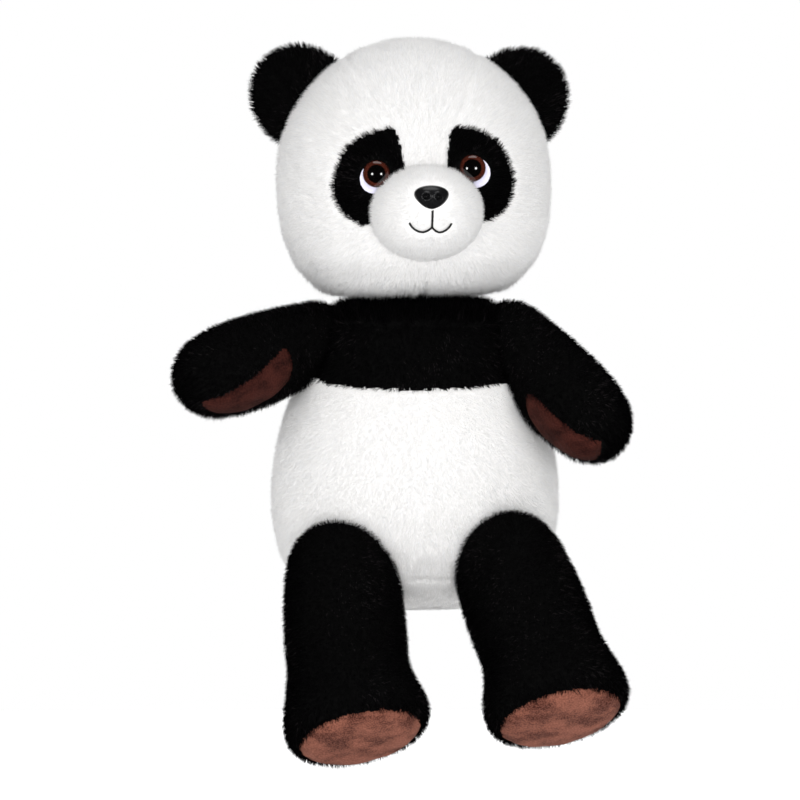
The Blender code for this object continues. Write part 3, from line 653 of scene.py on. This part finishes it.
def strand_mesh(name, root, middle, tip, width, bend, shade, rng):
    """Three-sided strands that taper to a point, with a ring half way if they bend.

    shade is the cloth's normals at the roots, and how far the strands take them for their own.
    """
    count = len(root)
    axis = unit(tip - root)
    across = unit(np.cross(axis, rng.normal(size=(count, 3))))
    up = np.cross(axis, across)
    ring = [across * math.cos(t) + up * math.sin(t) for t in (0, 2 * math.pi / 3, 4 * math.pi / 3)]
    low = [root + r * width[:, None] for r in ring]
    if bend:
        mid = [middle + r * width[:, None] * 0.80 for r in ring]
        points = np.stack([*low, *mid, tip], axis=1)
        facing = np.stack([*ring, *ring, axis], axis=1)
        corner = [0, 1, 4, 3, 1, 2, 5, 4, 2, 0, 3, 5, 3, 4, 6, 4, 5, 6, 5, 3, 6]
        sides = [4, 4, 4, 3, 3, 3]
    else:
        points = np.stack([*low, tip], axis=1)
        facing = np.stack([*ring, axis], axis=1)
        corner = [0, 1, 3, 1, 2, 3, 2, 0, 3]
        sides = [3, 3, 3]
    per = points.shape[1]
    mesh = bpy.data.meshes.new(name)
    mesh.vertices.add(count * per)
    mesh.vertices.foreach_set("co", points.astype(np.float32).ravel())
    loops = (np.arange(count)[:, None] * per + np.array(corner)[None, :]).ravel()
    mesh.loops.add(len(loops))
    mesh.loops.foreach_set("vertex_index", loops.astype(np.int32))
    starts = np.concatenate([[0], np.cumsum(np.tile(sides, count))[:-1]])
    mesh.polygons.add(count * len(sides))
    mesh.polygons.foreach_set("loop_start", starts.astype(np.int32))
    mesh.polygons.foreach_set("use_smooth", np.ones(count * len(sides), bool))
    mesh.update(calc_edges=True)
    facing = unit(facing * (1 - shade[1]) + shade[0][:, None, :] * shade[1])
    mesh.normals_split_custom_set_from_vertices(facing.reshape(-1, 3).tolist())
    return mesh


# ---------------------------------------------------------------- where things are
def middle_of(*nodes):
    """The middle of the box round some CAD nodes."""
    boxes = [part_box(node) for node in nodes]
    low = Vector([min(box[0][axis] for box in boxes) for axis in range(3)])
    high = Vector([max(box[1][axis] for box in boxes) for axis in range(3)])
    return (low + high) / 2


def head_axes():
    """The head's own right-to-left, front-to-back and up, from the places of its ears."""
    across = (middle_of("ear_front_left") - middle_of("ear_front_right")).normalized()
    back = Vector((0, 0, 1)).cross(across).normalized()
    return Matrix((across, back, across.cross(back))).transposed()


AXES = head_axes()
AXES_ROWS = np.array(AXES)


def local_range(node):
    """A node's lowest and highest corner, in the head's axes."""
    points = points_of(NODES[node].data) @ AXES_ROWS
    return points.min(0), points.max(0)


def eye_place(side):
    """The middle of an eye's back, and a matrix whose Z is the way that it looks."""
    washer = points_of(NODES[f"eye_washer_{side}"].data)
    centre = (washer.min(0) + washer.max(0)) / 2
    _, _, rows = np.linalg.svd(washer - washer.mean(0), full_matrices=False)
    look = rows[2] if rows[2][1] < 0 else -rows[2]
    tip = (points_of(NODES[f"eye_{side}"].data) @ look).max()
    base = Vector(centre + look * (tip - EYE_DOME - centre @ look)) + Vector((-0.5 * MM, 0, -0.5 * MM))
    ahead = (Vector(look) * (1 - EYE_AHEAD) + Vector((0, -1, 0)) * EYE_AHEAD).normalized()
    return Matrix.Translation(base) @ ahead.to_track_quat("Z", "Y").to_matrix().to_4x4()


# ---------------------------------------------------------------- eyes, nose and mouth
def lathe(profile, segments=64):
    """A closed turned form about Z from (radius, height) rows that start and end on the axis."""
    bm = bmesh.new()
    rings = []
    for radius, height in profile:
        if radius < 1e-9:
            rings.append([bm.verts.new((0, 0, height))])
            continue
        rings.append([
            bm.verts.new((radius * math.cos(a), radius * math.sin(a), height))
            for a in (2 * math.pi * k / segments for k in range(segments))
        ])
    for low, high in zip(rings, rings[1:], strict=False):
        for k in range(segments):
            corners = [low[k % len(low)], low[(k + 1) % len(low)]]
            corners += [high[(k + 1) % len(high)], high[k % len(high)]]
            bm.faces.new(list(dict.fromkeys(corners)))
    bmesh.ops.recalc_face_normals(bm, faces=bm.faces)
    return bm


def eye_material():
    """Clear plastic over a painted disc: black pupil, red-brown iris with fine rays, dark rim."""
    made, tree, shader = new_material("eye_plastic")
    where = tree.nodes.new("ShaderNodeTexCoord")
    flat = tree.nodes.new("ShaderNodeVectorMath")
    flat.operation = "MULTIPLY"
    flat.inputs[1].default_value = (1 / EYE_RADIUS, 1 / EYE_RADIUS, 0)
    out = tree.nodes.new("ShaderNodeVectorMath")
    out.operation = "LENGTH"
    tree.links.new(where.outputs["Object"], flat.inputs[0])
    tree.links.new(flat.outputs["Vector"], out.inputs[0])
    reach = out.outputs["Value"]
    rays = noise(tree, 900, 2, stretch=(1, 1, 0.05))
    iris = mixed(tree, ranged(tree, rays, 0, 1), (0.034, 0.0075, 0.0045), (0.070, 0.0155, 0.009))
    ring = ranged(tree, reach, 0, 1, (RIM_SHARE - 0.05, RIM_SHARE + 0.05))
    rim = mixed(tree, ring, iris, (0.022, 0.0045, 0.003))
    hole = ranged(tree, reach, 0, 1, (PUPIL_SHARE - 0.025, PUPIL_SHARE + 0.025))
    tree.links.new(mixed(tree, hole, (0.0015, 0.0012, 0.0012), rim), shader.inputs["Base Color"])
    shader.inputs["Roughness"].default_value = 0.10
    shader.inputs["Specular IOR Level"].default_value = 0.35
    shader.inputs["Coat Weight"].default_value = 1.0
    shader.inputs["Coat Roughness"].default_value = 0.02
    return made


def make_eye(side, material):
    """A plastic dome on its shank. Gives back where it sits, and which way it looks as its Z."""
    place = eye_place(side)
    rows = [(0.0, -SHANK_LENGTH), (SHANK_RADIUS, -SHANK_LENGTH), (SHANK_RADIUS, 0.0)]
    rows += [(EYE_RADIUS * 0.96, 0.0), (EYE_RADIUS, EYE_BAND)]
    steps = 14
    for k in range(1, steps):
        t = math.pi / 2 * k / steps
        rows.append((EYE_RADIUS * math.cos(t), EYE_BAND + (EYE_DOME - EYE_BAND) * math.sin(t)))
    rows.append((0.0, EYE_DOME))
    eye = as_piece(lathe(rows), f"safety_eye_{side}", [material], place)
    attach(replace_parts(eye, f"eye_{side}"), "head")
    return place


def make_felt(side, place, material):
    """The felt disc behind an eye, with an edge cut by hand."""
    edge = FELT_THICK * 0.5
    rows = [(0.0, -edge), (FELT_RADIUS - 0.3 * MM, -edge), (FELT_RADIUS, -edge * 0.3)]
    rows += [(FELT_RADIUS, edge * 0.3), (FELT_RADIUS - 0.35 * MM, edge), (FELT_RADIUS * 0.8, edge)]
    rows.append((0.0, edge))
    disc = as_piece(lathe(rows, 96), f"eye_felt_{side}", [material])
    rng = np.random.default_rng(11)
    points = points_of(disc.data)
    ragged = 1 + 0.012 * rng.normal(size=(len(points), 1)) * (np.abs(points[:, 2:]) < edge * 0.5)
    points[:, :2] *= ragged
    set_points(disc.data, points)
    turn = place.to_3x3().to_4x4()
    disc.matrix_world = Matrix.Translation(felt_middle(side, place)) @ turn
    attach(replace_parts(disc, f"eye_white_{side}"), "head")


def felt_middle(side, place):
    """The middle of a felt disc, from the round outer part of its CAD node."""
    points = points_of(NODES[f"eye_white_{side}"].data)
    turn = np.array(place.to_3x3())
    flat = points @ turn
    away = 1 if side == "left" else -1
    across = flat[:, 0]
    sign = 1 if (turn[:, 0] @ AXES_ROWS[:, 0]) * away > 0 else -1
    edge = (across * sign).max() * sign
    low = flat[:, 1].min() if turn[2, 1] > 0 else flat[:, 1].max()
    up = 1 if turn[2, 1] > 0 else -1
    x = edge - sign * FELT_RADIUS
    y = low + up * FELT_RADIUS
    z = (flat[:, 2].min() + flat[:, 2].max()) / 2
    return Vector(turn @ np.array((x, y, z)))


def make_nose(material):
    """A moulded nose: a rounded triangle with two nostril pits and a faint lip round them."""
    low, high = local_range("nose")
    middle = (low + high) / 2
    half_x = (high[0] - low[0]) / 2
    half_z = (high[2] - low[2]) / 2
    bm = bmesh.new()
    bmesh.ops.create_uvsphere(bm, u_segments=96, v_segments=64, radius=1)
    for v in bm.verts:
        x, y, z = v.co
        wide = 1 + 0.22 * z - 0.06 * z * z
        full = 1 - 0.06 * x * x
        tall = 0.94 if z > 0 else 1.46
        place = Vector((x * half_x * wide * 0.99, y * NOSE_DEPTH * full, z * half_z * tall))
        if y < 0:
            for side in (-1, 1):
                dx = (place.x - side * NOSTRIL_APART) / NOSTRIL_HALF[0]
                dz = (place.z + NOSTRIL_DOWN) / NOSTRIL_HALF[1]
                reach = dx * dx + dz * dz
                place.y += NOSTRIL_DEPTH * math.exp(-reach * reach * 1.2)
                place.y -= NOSTRIL_LIP * math.exp(-((math.sqrt(reach) - 1.45) ** 2) * 9)
        v.co = place
    centre = AXES @ Vector((middle[0], low[1] + NOSE_DEPTH, middle[2]))
    nose = as_piece(bm, "safety_nose", [material], Matrix.Translation(centre) @ AXES.to_4x4())
    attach(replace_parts(nose, "nose"), "head")
    return centre


def mouth_path():
    """The sewn line over the muzzle: a stem and a smile, as points in the head's axes."""
    low, high = local_range("mouth_stitching")
    half, tall = (high[0] - low[0]) / 2 - 0.6 * MM, high[2] - low[2] - 0.6 * MM
    mid, top = (low[0] + high[0]) / 2 - 0.5 * MM, high[2]
    bow = ((1.0, -0.52), (0.90, -0.70), (0.75, -0.84), (0.57, -0.94))
    bow += ((0.38, -0.97), (0.20, -0.90), (0.07, -0.79), (0, -0.70))
    stem = [(mid, top + 1.2 * MM - (tall * 0.72 + 1.2 * MM) * t) for t in np.linspace(0, 1, 12)]
    right = [(mid - half * 1.06 * x, top + tall * z) for x, z in bow]
    left = [(mid + half * 0.94 * x, top + tall * z) for x, z in reversed(bow)]
    return [dense(stem), dense(right + left[1:])]


def dense(points, step=0.42 * MM):
    """Evenly spaced points along a line of points."""
    line = np.array(points)
    gaps = np.linalg.norm(np.diff(line, axis=0), axis=1)
    at = np.concatenate([[0], np.cumsum(gaps)])
    where = np.linspace(0, at[-1], max(2, int(at[-1] / step)))
    return np.stack([np.interp(where, at, line[:, k]) for k in range(2)], axis=1)


def make_mouth(muzzle, material):
    """Satin stitch: short threads laid side by side across the drawn line."""
    front = muzzle["points"] @ AXES_ROWS
    ahead = front[:, 1].min() - 20 * MM
    into = AXES @ Vector((0, 1, 0))
    bm = bmesh.new()
    rng = np.random.default_rng(5)
    places = []
    for path in mouth_path():
        ways = np.gradient(path, axis=0)
        for (x, z), (dx, dz) in zip(path, ways, strict=True):
            hit, normal, _, _ = muzzle["tree"].ray_cast(AXES @ Vector((x, ahead, z)), into)
            if hit is None:
                continue
            places.append(hit)
            along = (AXES @ Vector((dx, 0, dz))).normalized()
            across = along.cross(normal).normalized()
            lay = (across + along * (0.55 + 0.15 * rng.normal())).normalized()
            turn = Matrix((lay, normal.cross(lay), normal)).transposed().to_4x4()
            size = Matrix.Diagonal((*THREAD_HALF, 1))
            place = Matrix.Translation(hit + normal * THREAD_LIFT) @ turn @ size
            bmesh.ops.create_uvsphere(bm, u_segments=8, v_segments=6, radius=1, matrix=place)
    mouth = as_piece(bm, "mouth_embroidery", [material])
    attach(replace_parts(mouth, "mouth_stitching"), "head")
    return np.array([list(p) for p in places])


# ---------------------------------------------------------------- pads
def velour_material(name, dark, light, sheen):
    """Short brown pile, brushed this way and that, darker where it lies away."""
    made, tree, shader = new_material(name)
    brushed = ranged(tree, noise(tree, 70, 5, stretch=(1, 1, 1.8)), 0, 1, (0.38, 0.60))
    fine = ranged(tree, noise(tree, 1100, 2), 0, 1, (0.40, 0.60))
    broad = mixed(tree, brushed, dark, light)
    speck = mixed(tree, fine, dark, light)
    tree.links.new(mixed(tree, 0.45, broad, speck), shader.inputs["Base Color"])
    shader.inputs["Roughness"].default_value = 0.85
    shader.inputs["Specular IOR Level"].default_value = 0.1
    shader.inputs["Sheen Weight"].default_value = sheen
    shader.inputs["Sheen Roughness"].default_value = 0.45
    shader.inputs["Sheen Tint"].default_value = (0.75, 0.45, 0.38, 1)
    bumped(tree, shader, noise(tree, 1300, 2), 0.25 * MM)
    return made


def make_pad(skin, panel, name, seed):
    """The pad's faces of a limb's skin, as a thin closed piece that stands just proud of it."""
    mesh = skin["piece"].data
    column = skin["panels"].index(panel)
    nearest = np.argmin(skin["near"], axis=1)
    inside = skin["near"][:, column] - np.delete(skin["near"], column, axis=1).min(1)
    bm = bmesh.new()
    bm.from_mesh(mesh)
    bm.verts.ensure_lookup_table()
    far = [f for f in bm.faces if not any(nearest[v.index] == column for v in f.verts)]
    rough = waves(skin["points"], 3 * MM, seed)[:, 0] * 0.10 * MM
    rough += waves(skin["points"], 14 * MM, seed)[:, 1] * 0.3 * MM
    for v in bm.verts:
        edge = min(1.0, max(0.0, -inside[v.index] / PAD_EDGE))
        v.co += v.normal * (PAD_LIFT * (2 * edge - 1) + rough[v.index] * edge)
    bmesh.ops.delete(bm, geom=far, context="FACES")
    piece = as_piece(bm, name, [material_of(panel)])
    thick = piece.modifiers.new("thick", "SOLIDIFY")
    thick.thickness = PAD_THICK
    thick.offset = -1
    fine = piece.modifiers.new("fine", "SUBSURF")
    fine.levels = fine.render_levels = 1
    settle(piece)
    return piece


# ---------------------------------------------------------------- the panda
PILE_MATERIALS = make_pile_materials()
WHITE_SKIN = pile_material("white_backing", (0.84, 0.83, 0.82), 0.9, (0.1, 0.2), (0.0, 0.2))
BLACK_SKIN = pile_material("black_backing", (0.003, 0.003, 0.003), 0.9, (0.02, 0.05), (0.0, 0.005))
SOLE_VELOUR = velour_material("sole_velour", (0.046, 0.012, 0.008), (0.255, 0.094, 0.062), 0.08)
# the paw pads' velour is the sole velour made much darker: painted shade for pads that face down
PAW_VELOUR_PAINTED_SHADE = velour_material("paw_velour_painted_shade", (0.014, 0.0030, 0.0022), (0.054, 0.0130, 0.0090), 0.02)
EYE = eye_material()
FELT = noise_material("white_felt", (0.82, 0.80, 0.96), (0.74, 0.72, 0.90), 900, 0.9, 0.10 * MM, 0.3, 0.2)
NOSE = noise_material(
    "nose_plastic", (0.0080, 0.0080, 0.0090), (0.0050, 0.0050, 0.0055), 500, 0.26, 0.02 * MM
)
THREAD = noise_material("black_thread", (0.016, 0.015, 0.015), (0.006, 0.006, 0.006), 1500, 0.5, 0.05 * MM)
PALE_THREAD = noise_material("white_thread", (0.85, 0.85, 0.83), (0.72, 0.72, 0.70), 1500, 0.6, 0.05 * MM)
WASHER = noise_material("washer_plastic", (0.80, 0.80, 0.78), (0.70, 0.70, 0.68), 300, 0.4, 0.02 * MM)
FIBRE = noise_material("fibre_fill", (0.90, 0.90, 0.90), (0.70, 0.70, 0.70), 250, 0.95, 0.4 * MM)
CLOTH = noise_material("pellet_cloth", (0.62, 0.58, 0.50), (0.48, 0.45, 0.38), 600, 0.95, 0.2 * MM)


def material_of(panel):
    if "pad" in panel:
        # paw pads take the darker velour, which is painted shade
        return SOLE_VELOUR if "sole" in panel else PAW_VELOUR_PAINTED_SHADE
    dark = ("ear", "eye_patch", "yoke", "arm", "leg", "neck")
    return BLACK_SKIN if any(word in panel for word in dark) else WHITE_SKIN


def skin_over(name, nodes, panels, **options):
    """A soft form over some CAD nodes, with the material of its nearest panel on each face."""
    skin = shown_form(name, nodes, panels, **options)
    finish_skin(skin, {p: material_of(p) for p in panels})
    return skin


HEAD_PANELS = ["forehead_gusset", "face_side_left", "face_side_right", "head_back"]
HEAD_PANELS += ["eye_patch_left", "eye_patch_right"]
BODY_PANELS = ["belly_panel", "seat_panel", "back_panel_left", "back_panel_right"]
BODY_PANELS += ["chest_yoke", "shoulder_yoke"]

skins = {}
skins["head"] = skin_over("head_padding", HEAD_PANELS, HEAD_PANELS, pile=1.8 * MM)
muzzle = ["muzzle_cover"]
skins["muzzle"] = skin_over(
    "muzzle_padding", muzzle, muzzle, voxel=MUZZLE_VOXEL, cap=0.8 * MM, pile=1.5 * MM
)
skins["body"] = skin_over("body_padding", BODY_PANELS, BODY_PANELS, cap=2.5 * MM, pile=0.8 * MM)
for side in SIDES:
    ears = [f"ear_front_{side}", f"ear_back_{side}"]
    skins[f"ear_{side}"] = skin_over(
        f"ear_padding_{side}", ears, ears, voxel=EAR_VOXEL, cap=1.5 * MM, pile=0.6 * MM
    )
    arm = [f"arm_cover_{side}", f"paw_pad_{side}"]
    skins[f"arm_{side}"] = skin_over(f"arm_padding_{side}", arm, arm, voxel=LIMB_VOXEL)
    leg = [f"leg_cover_{side}", f"sole_pad_{side}"]
    skins[f"leg_{side}"] = skin_over(
        f"leg_padding_{side}", [*leg, f"leg_stuffing_{side}"], leg,
        voxel=LIMB_VOXEL, hull=False, pile=0.6 * MM,
    )

ON_HEAD = ("ear_left", "ear_right", "muzzle")
ON_BODY = ("arm_left", "arm_right", "leg_left", "leg_right")
for inner, outer in (("head", ON_HEAD), ("body", ON_BODY)):
    core = skins[inner]
    core["outside"] = np.min([depth_in(core, skins[other]) for other in outer], axis=0)
    for other in outer:
        skins[other]["outside"] = depth_in(skins[other], core)


def blend_head(piece):
    """Bakes the piece's place into its mesh. The heights where the head would bend are worked out, but
    nothing bends.
    """
    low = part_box("head_back")[0].z
    start, end = ((0, 0, low + height) for height in HEAD_BEND)
    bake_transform(piece)
    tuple(start)
    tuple(end)


def limb_line(limb):
    """Where a limb's joint is, and the way from there along the limb."""
    pivot = Vector(joint_of(limb)["pos_m"])
    kind, side = limb.split("_")
    return pivot, (middle_of(f"{kind}_cover_{side}") - pivot).normalized()


def blend_limb(piece, limb):
    """Bakes the piece's place into its mesh. The limb's joint and its way are worked out, but nothing
    swings about it.
    """
    pivot, way = limb_line(limb)
    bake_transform(piece)


def dress(name, nodes):
    """Hides the CAD nodes that a skin stands in for. Gives back its piece."""
    piece = skins[name]["piece"]
    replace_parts(piece, *nodes)
    return piece


# skins
blend_head(dress("head", [*HEAD_PANELS, "head_stuffing"]))
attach(dress("muzzle", ["muzzle_cover"]), "head")
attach(dress("body", [*BODY_PANELS, "body_stuffing"]), "torso")

# face
eyes = {}
for side in SIDES:
    eyes[side] = make_eye(side, EYE)
    make_felt(side, eyes[side], FELT)
NOSE_AT = np.array(make_nose(NOSE))
mouth_points = make_mouth(skins["muzzle"], THREAD)
EYES_AT = {side: np.array(eyes[side].translation) for side in SIDES}
FELTS_AT = {side: np.array(felt_middle(side, eyes[side])) for side in SIDES}
BACK = AXES_ROWS[:, 1]
UP = np.array((0.0, 0.0, 1.0))


def comb_head(points, normals):
    """Away from the nose over the face, round the eyes, and down behind the ears."""
    away = unit(points - NOSE_AT)
    behind = np.clip(((points - NOSE_AT) @ BACK - 55 * MM) / (40 * MM), 0, 1)[:, None]
    made = away * (1 - behind) - UP * behind
    for side in SIDES:
        gap = points - FELTS_AT[side]
        reach = np.linalg.norm(gap, axis=1, keepdims=True)
        made = made + unit(gap) * 2.5 * np.exp(-((reach / (13 * MM)) ** 4))
    return made


def long_chin(points):
    """The pile is longer under the head, where it hangs over the yoke."""
    return 1 + 0.55 * np.clip((NECK_AT[2] + CHIN_RISE - points[:, 2]) / CHIN_REACH, 0, 1)


def bare_face(points):
    """No pile in front of the eyes and the felts, and less close round them."""
    made = np.ones(len(points))
    for side in SIDES:
        look = np.array(eyes[side].to_3x3())[:, 2]
        for centre, radius in ((EYES_AT[side], EYE_RADIUS), (FELTS_AT[side], FELT_RADIUS)):
            gap = points - centre
            flat = np.linalg.norm(gap - np.outer(gap @ look, look), axis=1)
            flat += 50 * MM * (gap @ look < -FACE_DEPTH)
            past = flat - radius - 0.2 * MM
            made *= np.clip(past / (3.0 * MM), 0, 1) * 0.6 + 0.4 * (past > 0)
    return made


def bare_muzzle(points):
    """No pile under the nose and the mouth's stitches, and less close round them."""
    gap = (points - NOSE_AT) @ AXES_ROWS
    reach = np.hypot(gap[:, 0] / (9.2 * MM), gap[:, 2] / (6.6 * MM))
    made = np.clip((reach - 0.95) / 0.5, 0, 1)
    tree = point_tree(mouth_points)
    to_mouth = np.array([tree.find(p)[2] for p in points.tolist()])
    return made * np.clip((to_mouth - 0.9 * MM) / (2.5 * MM), 0, 1)


def long_collar(points):
    """The pile is longer at the top of the yoke, where it stands up round the head."""
    return 1 + 0.80 * np.clip((points[:, 2] - NECK_AT[2] + COLLAR_DROP) / COLLAR_REACH, 0, 1)


def pressed_seat(points):
    """The pile is pressed flat where the toy sits."""
    return 0.45 + 0.55 * np.clip((points[:, 2] - SEAT_RISE) / SEAT_REACH, 0, 1)


def comb_down(points, normals):
    """Down over the body, and a little outwards."""
    return np.tile(-UP, (len(points), 1)) + 0.35 * normals * (1, 1, 0)


def comb_collar(points, normals):
    """Down over the yoke, but up and outwards at its top."""
    rise = np.clip((points[:, 2:] - NECK_AT[2] + RIM_DROP) / RIM_REACH, 0, 1)
    return comb_down(points, normals) + rise * (2.2 * UP + 0.6 * normals * (1, 1, 0))


def comb_limb(limb):
    """Along the limb, and a little down."""
    way = np.array(limb_line(limb)[1])

    def comb(points, normals):
        return np.tile(way, (len(points), 1)) - 0.25 * UP

    return comb


def comb_ear():
    """Outwards from the middle of the head, in the ear's own plane."""
    away_from = np.array(middle_of("head_back", "forehead_gusset"))

    def comb(points, normals):
        made = unit(points - away_from)
        return made - BACK * (made @ BACK)[:, None] * 0.8

    return comb


# pile
for i, panel in enumerate(HEAD_PANELS):
    kind = "patch" if "patch" in panel else "white"
    pile = grow_pile(skins["head"], panel, kind, comb_head, 100 + i, bare=bare_face, longer=long_chin)
    blend_head(pile)
pile = grow_pile(skins["muzzle"], "muzzle_cover", "muzzle", comb_head, 120, bare=bare_muzzle)
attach(pile, "head")
for i, panel in enumerate(BODY_PANELS):
    kind = "black" if "yoke" in panel else "white"
    comb = comb_collar if kind == "black" else comb_down
    longer = long_collar if kind == "black" else pressed_seat
    pile = grow_pile(skins["body"], panel, kind, comb, 130 + i, longer=longer, buried=True)
    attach(pile, "torso")
for n, side in enumerate(SIDES):
    ears = [f"ear_front_{side}", f"ear_back_{side}"]
    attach(dress(f"ear_{side}", ears), "head")
    for k, panel in enumerate(ears):
        pile = grow_pile(skins[f"ear_{side}"], panel, "ear", comb_ear(), 140 + 2 * n + k)
        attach(pile, "head")
    for kind, pad in (("arm", "paw_pad"), ("leg", "sole_pad")):
        limb, cover = f"{kind}_{side}", f"{kind}_cover_{side}"
        blend_limb(dress(limb, [cover, f"{kind}_stuffing_{side}"]), limb)
        seed = 150 + 10 * n + len(pad)
        pile = grow_pile(skins[limb], cover, "black", comb_limb(limb), seed)
        blend_limb(pile, limb)
        velour = make_pad(skins[limb], f"{pad}_{side}", f"{pad}_velour_{side}", 160 + n)
        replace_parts(velour, f"{pad}_{side}")
        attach(velour, limb)

for node, item in {
    "eye_washer_left": WASHER, "eye_washer_right": WASHER, "nose_washer": WASHER, "pellet_bag": CLOTH,
    "closing_stitch": PALE_THREAD, "neck_cover": BLACK_SKIN, "neck_stuffing": FIBRE,
}.items():
    mesh = NODES[node].data
    mesh.materials.clear()
    mesh.materials.append(item)

low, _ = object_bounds()
make_floor(low.z)
make_camera()
make_light()
bpy.context.scene.view_settings.view_transform = "Standard"
bpy.context.scene.view_settings.look = "None"
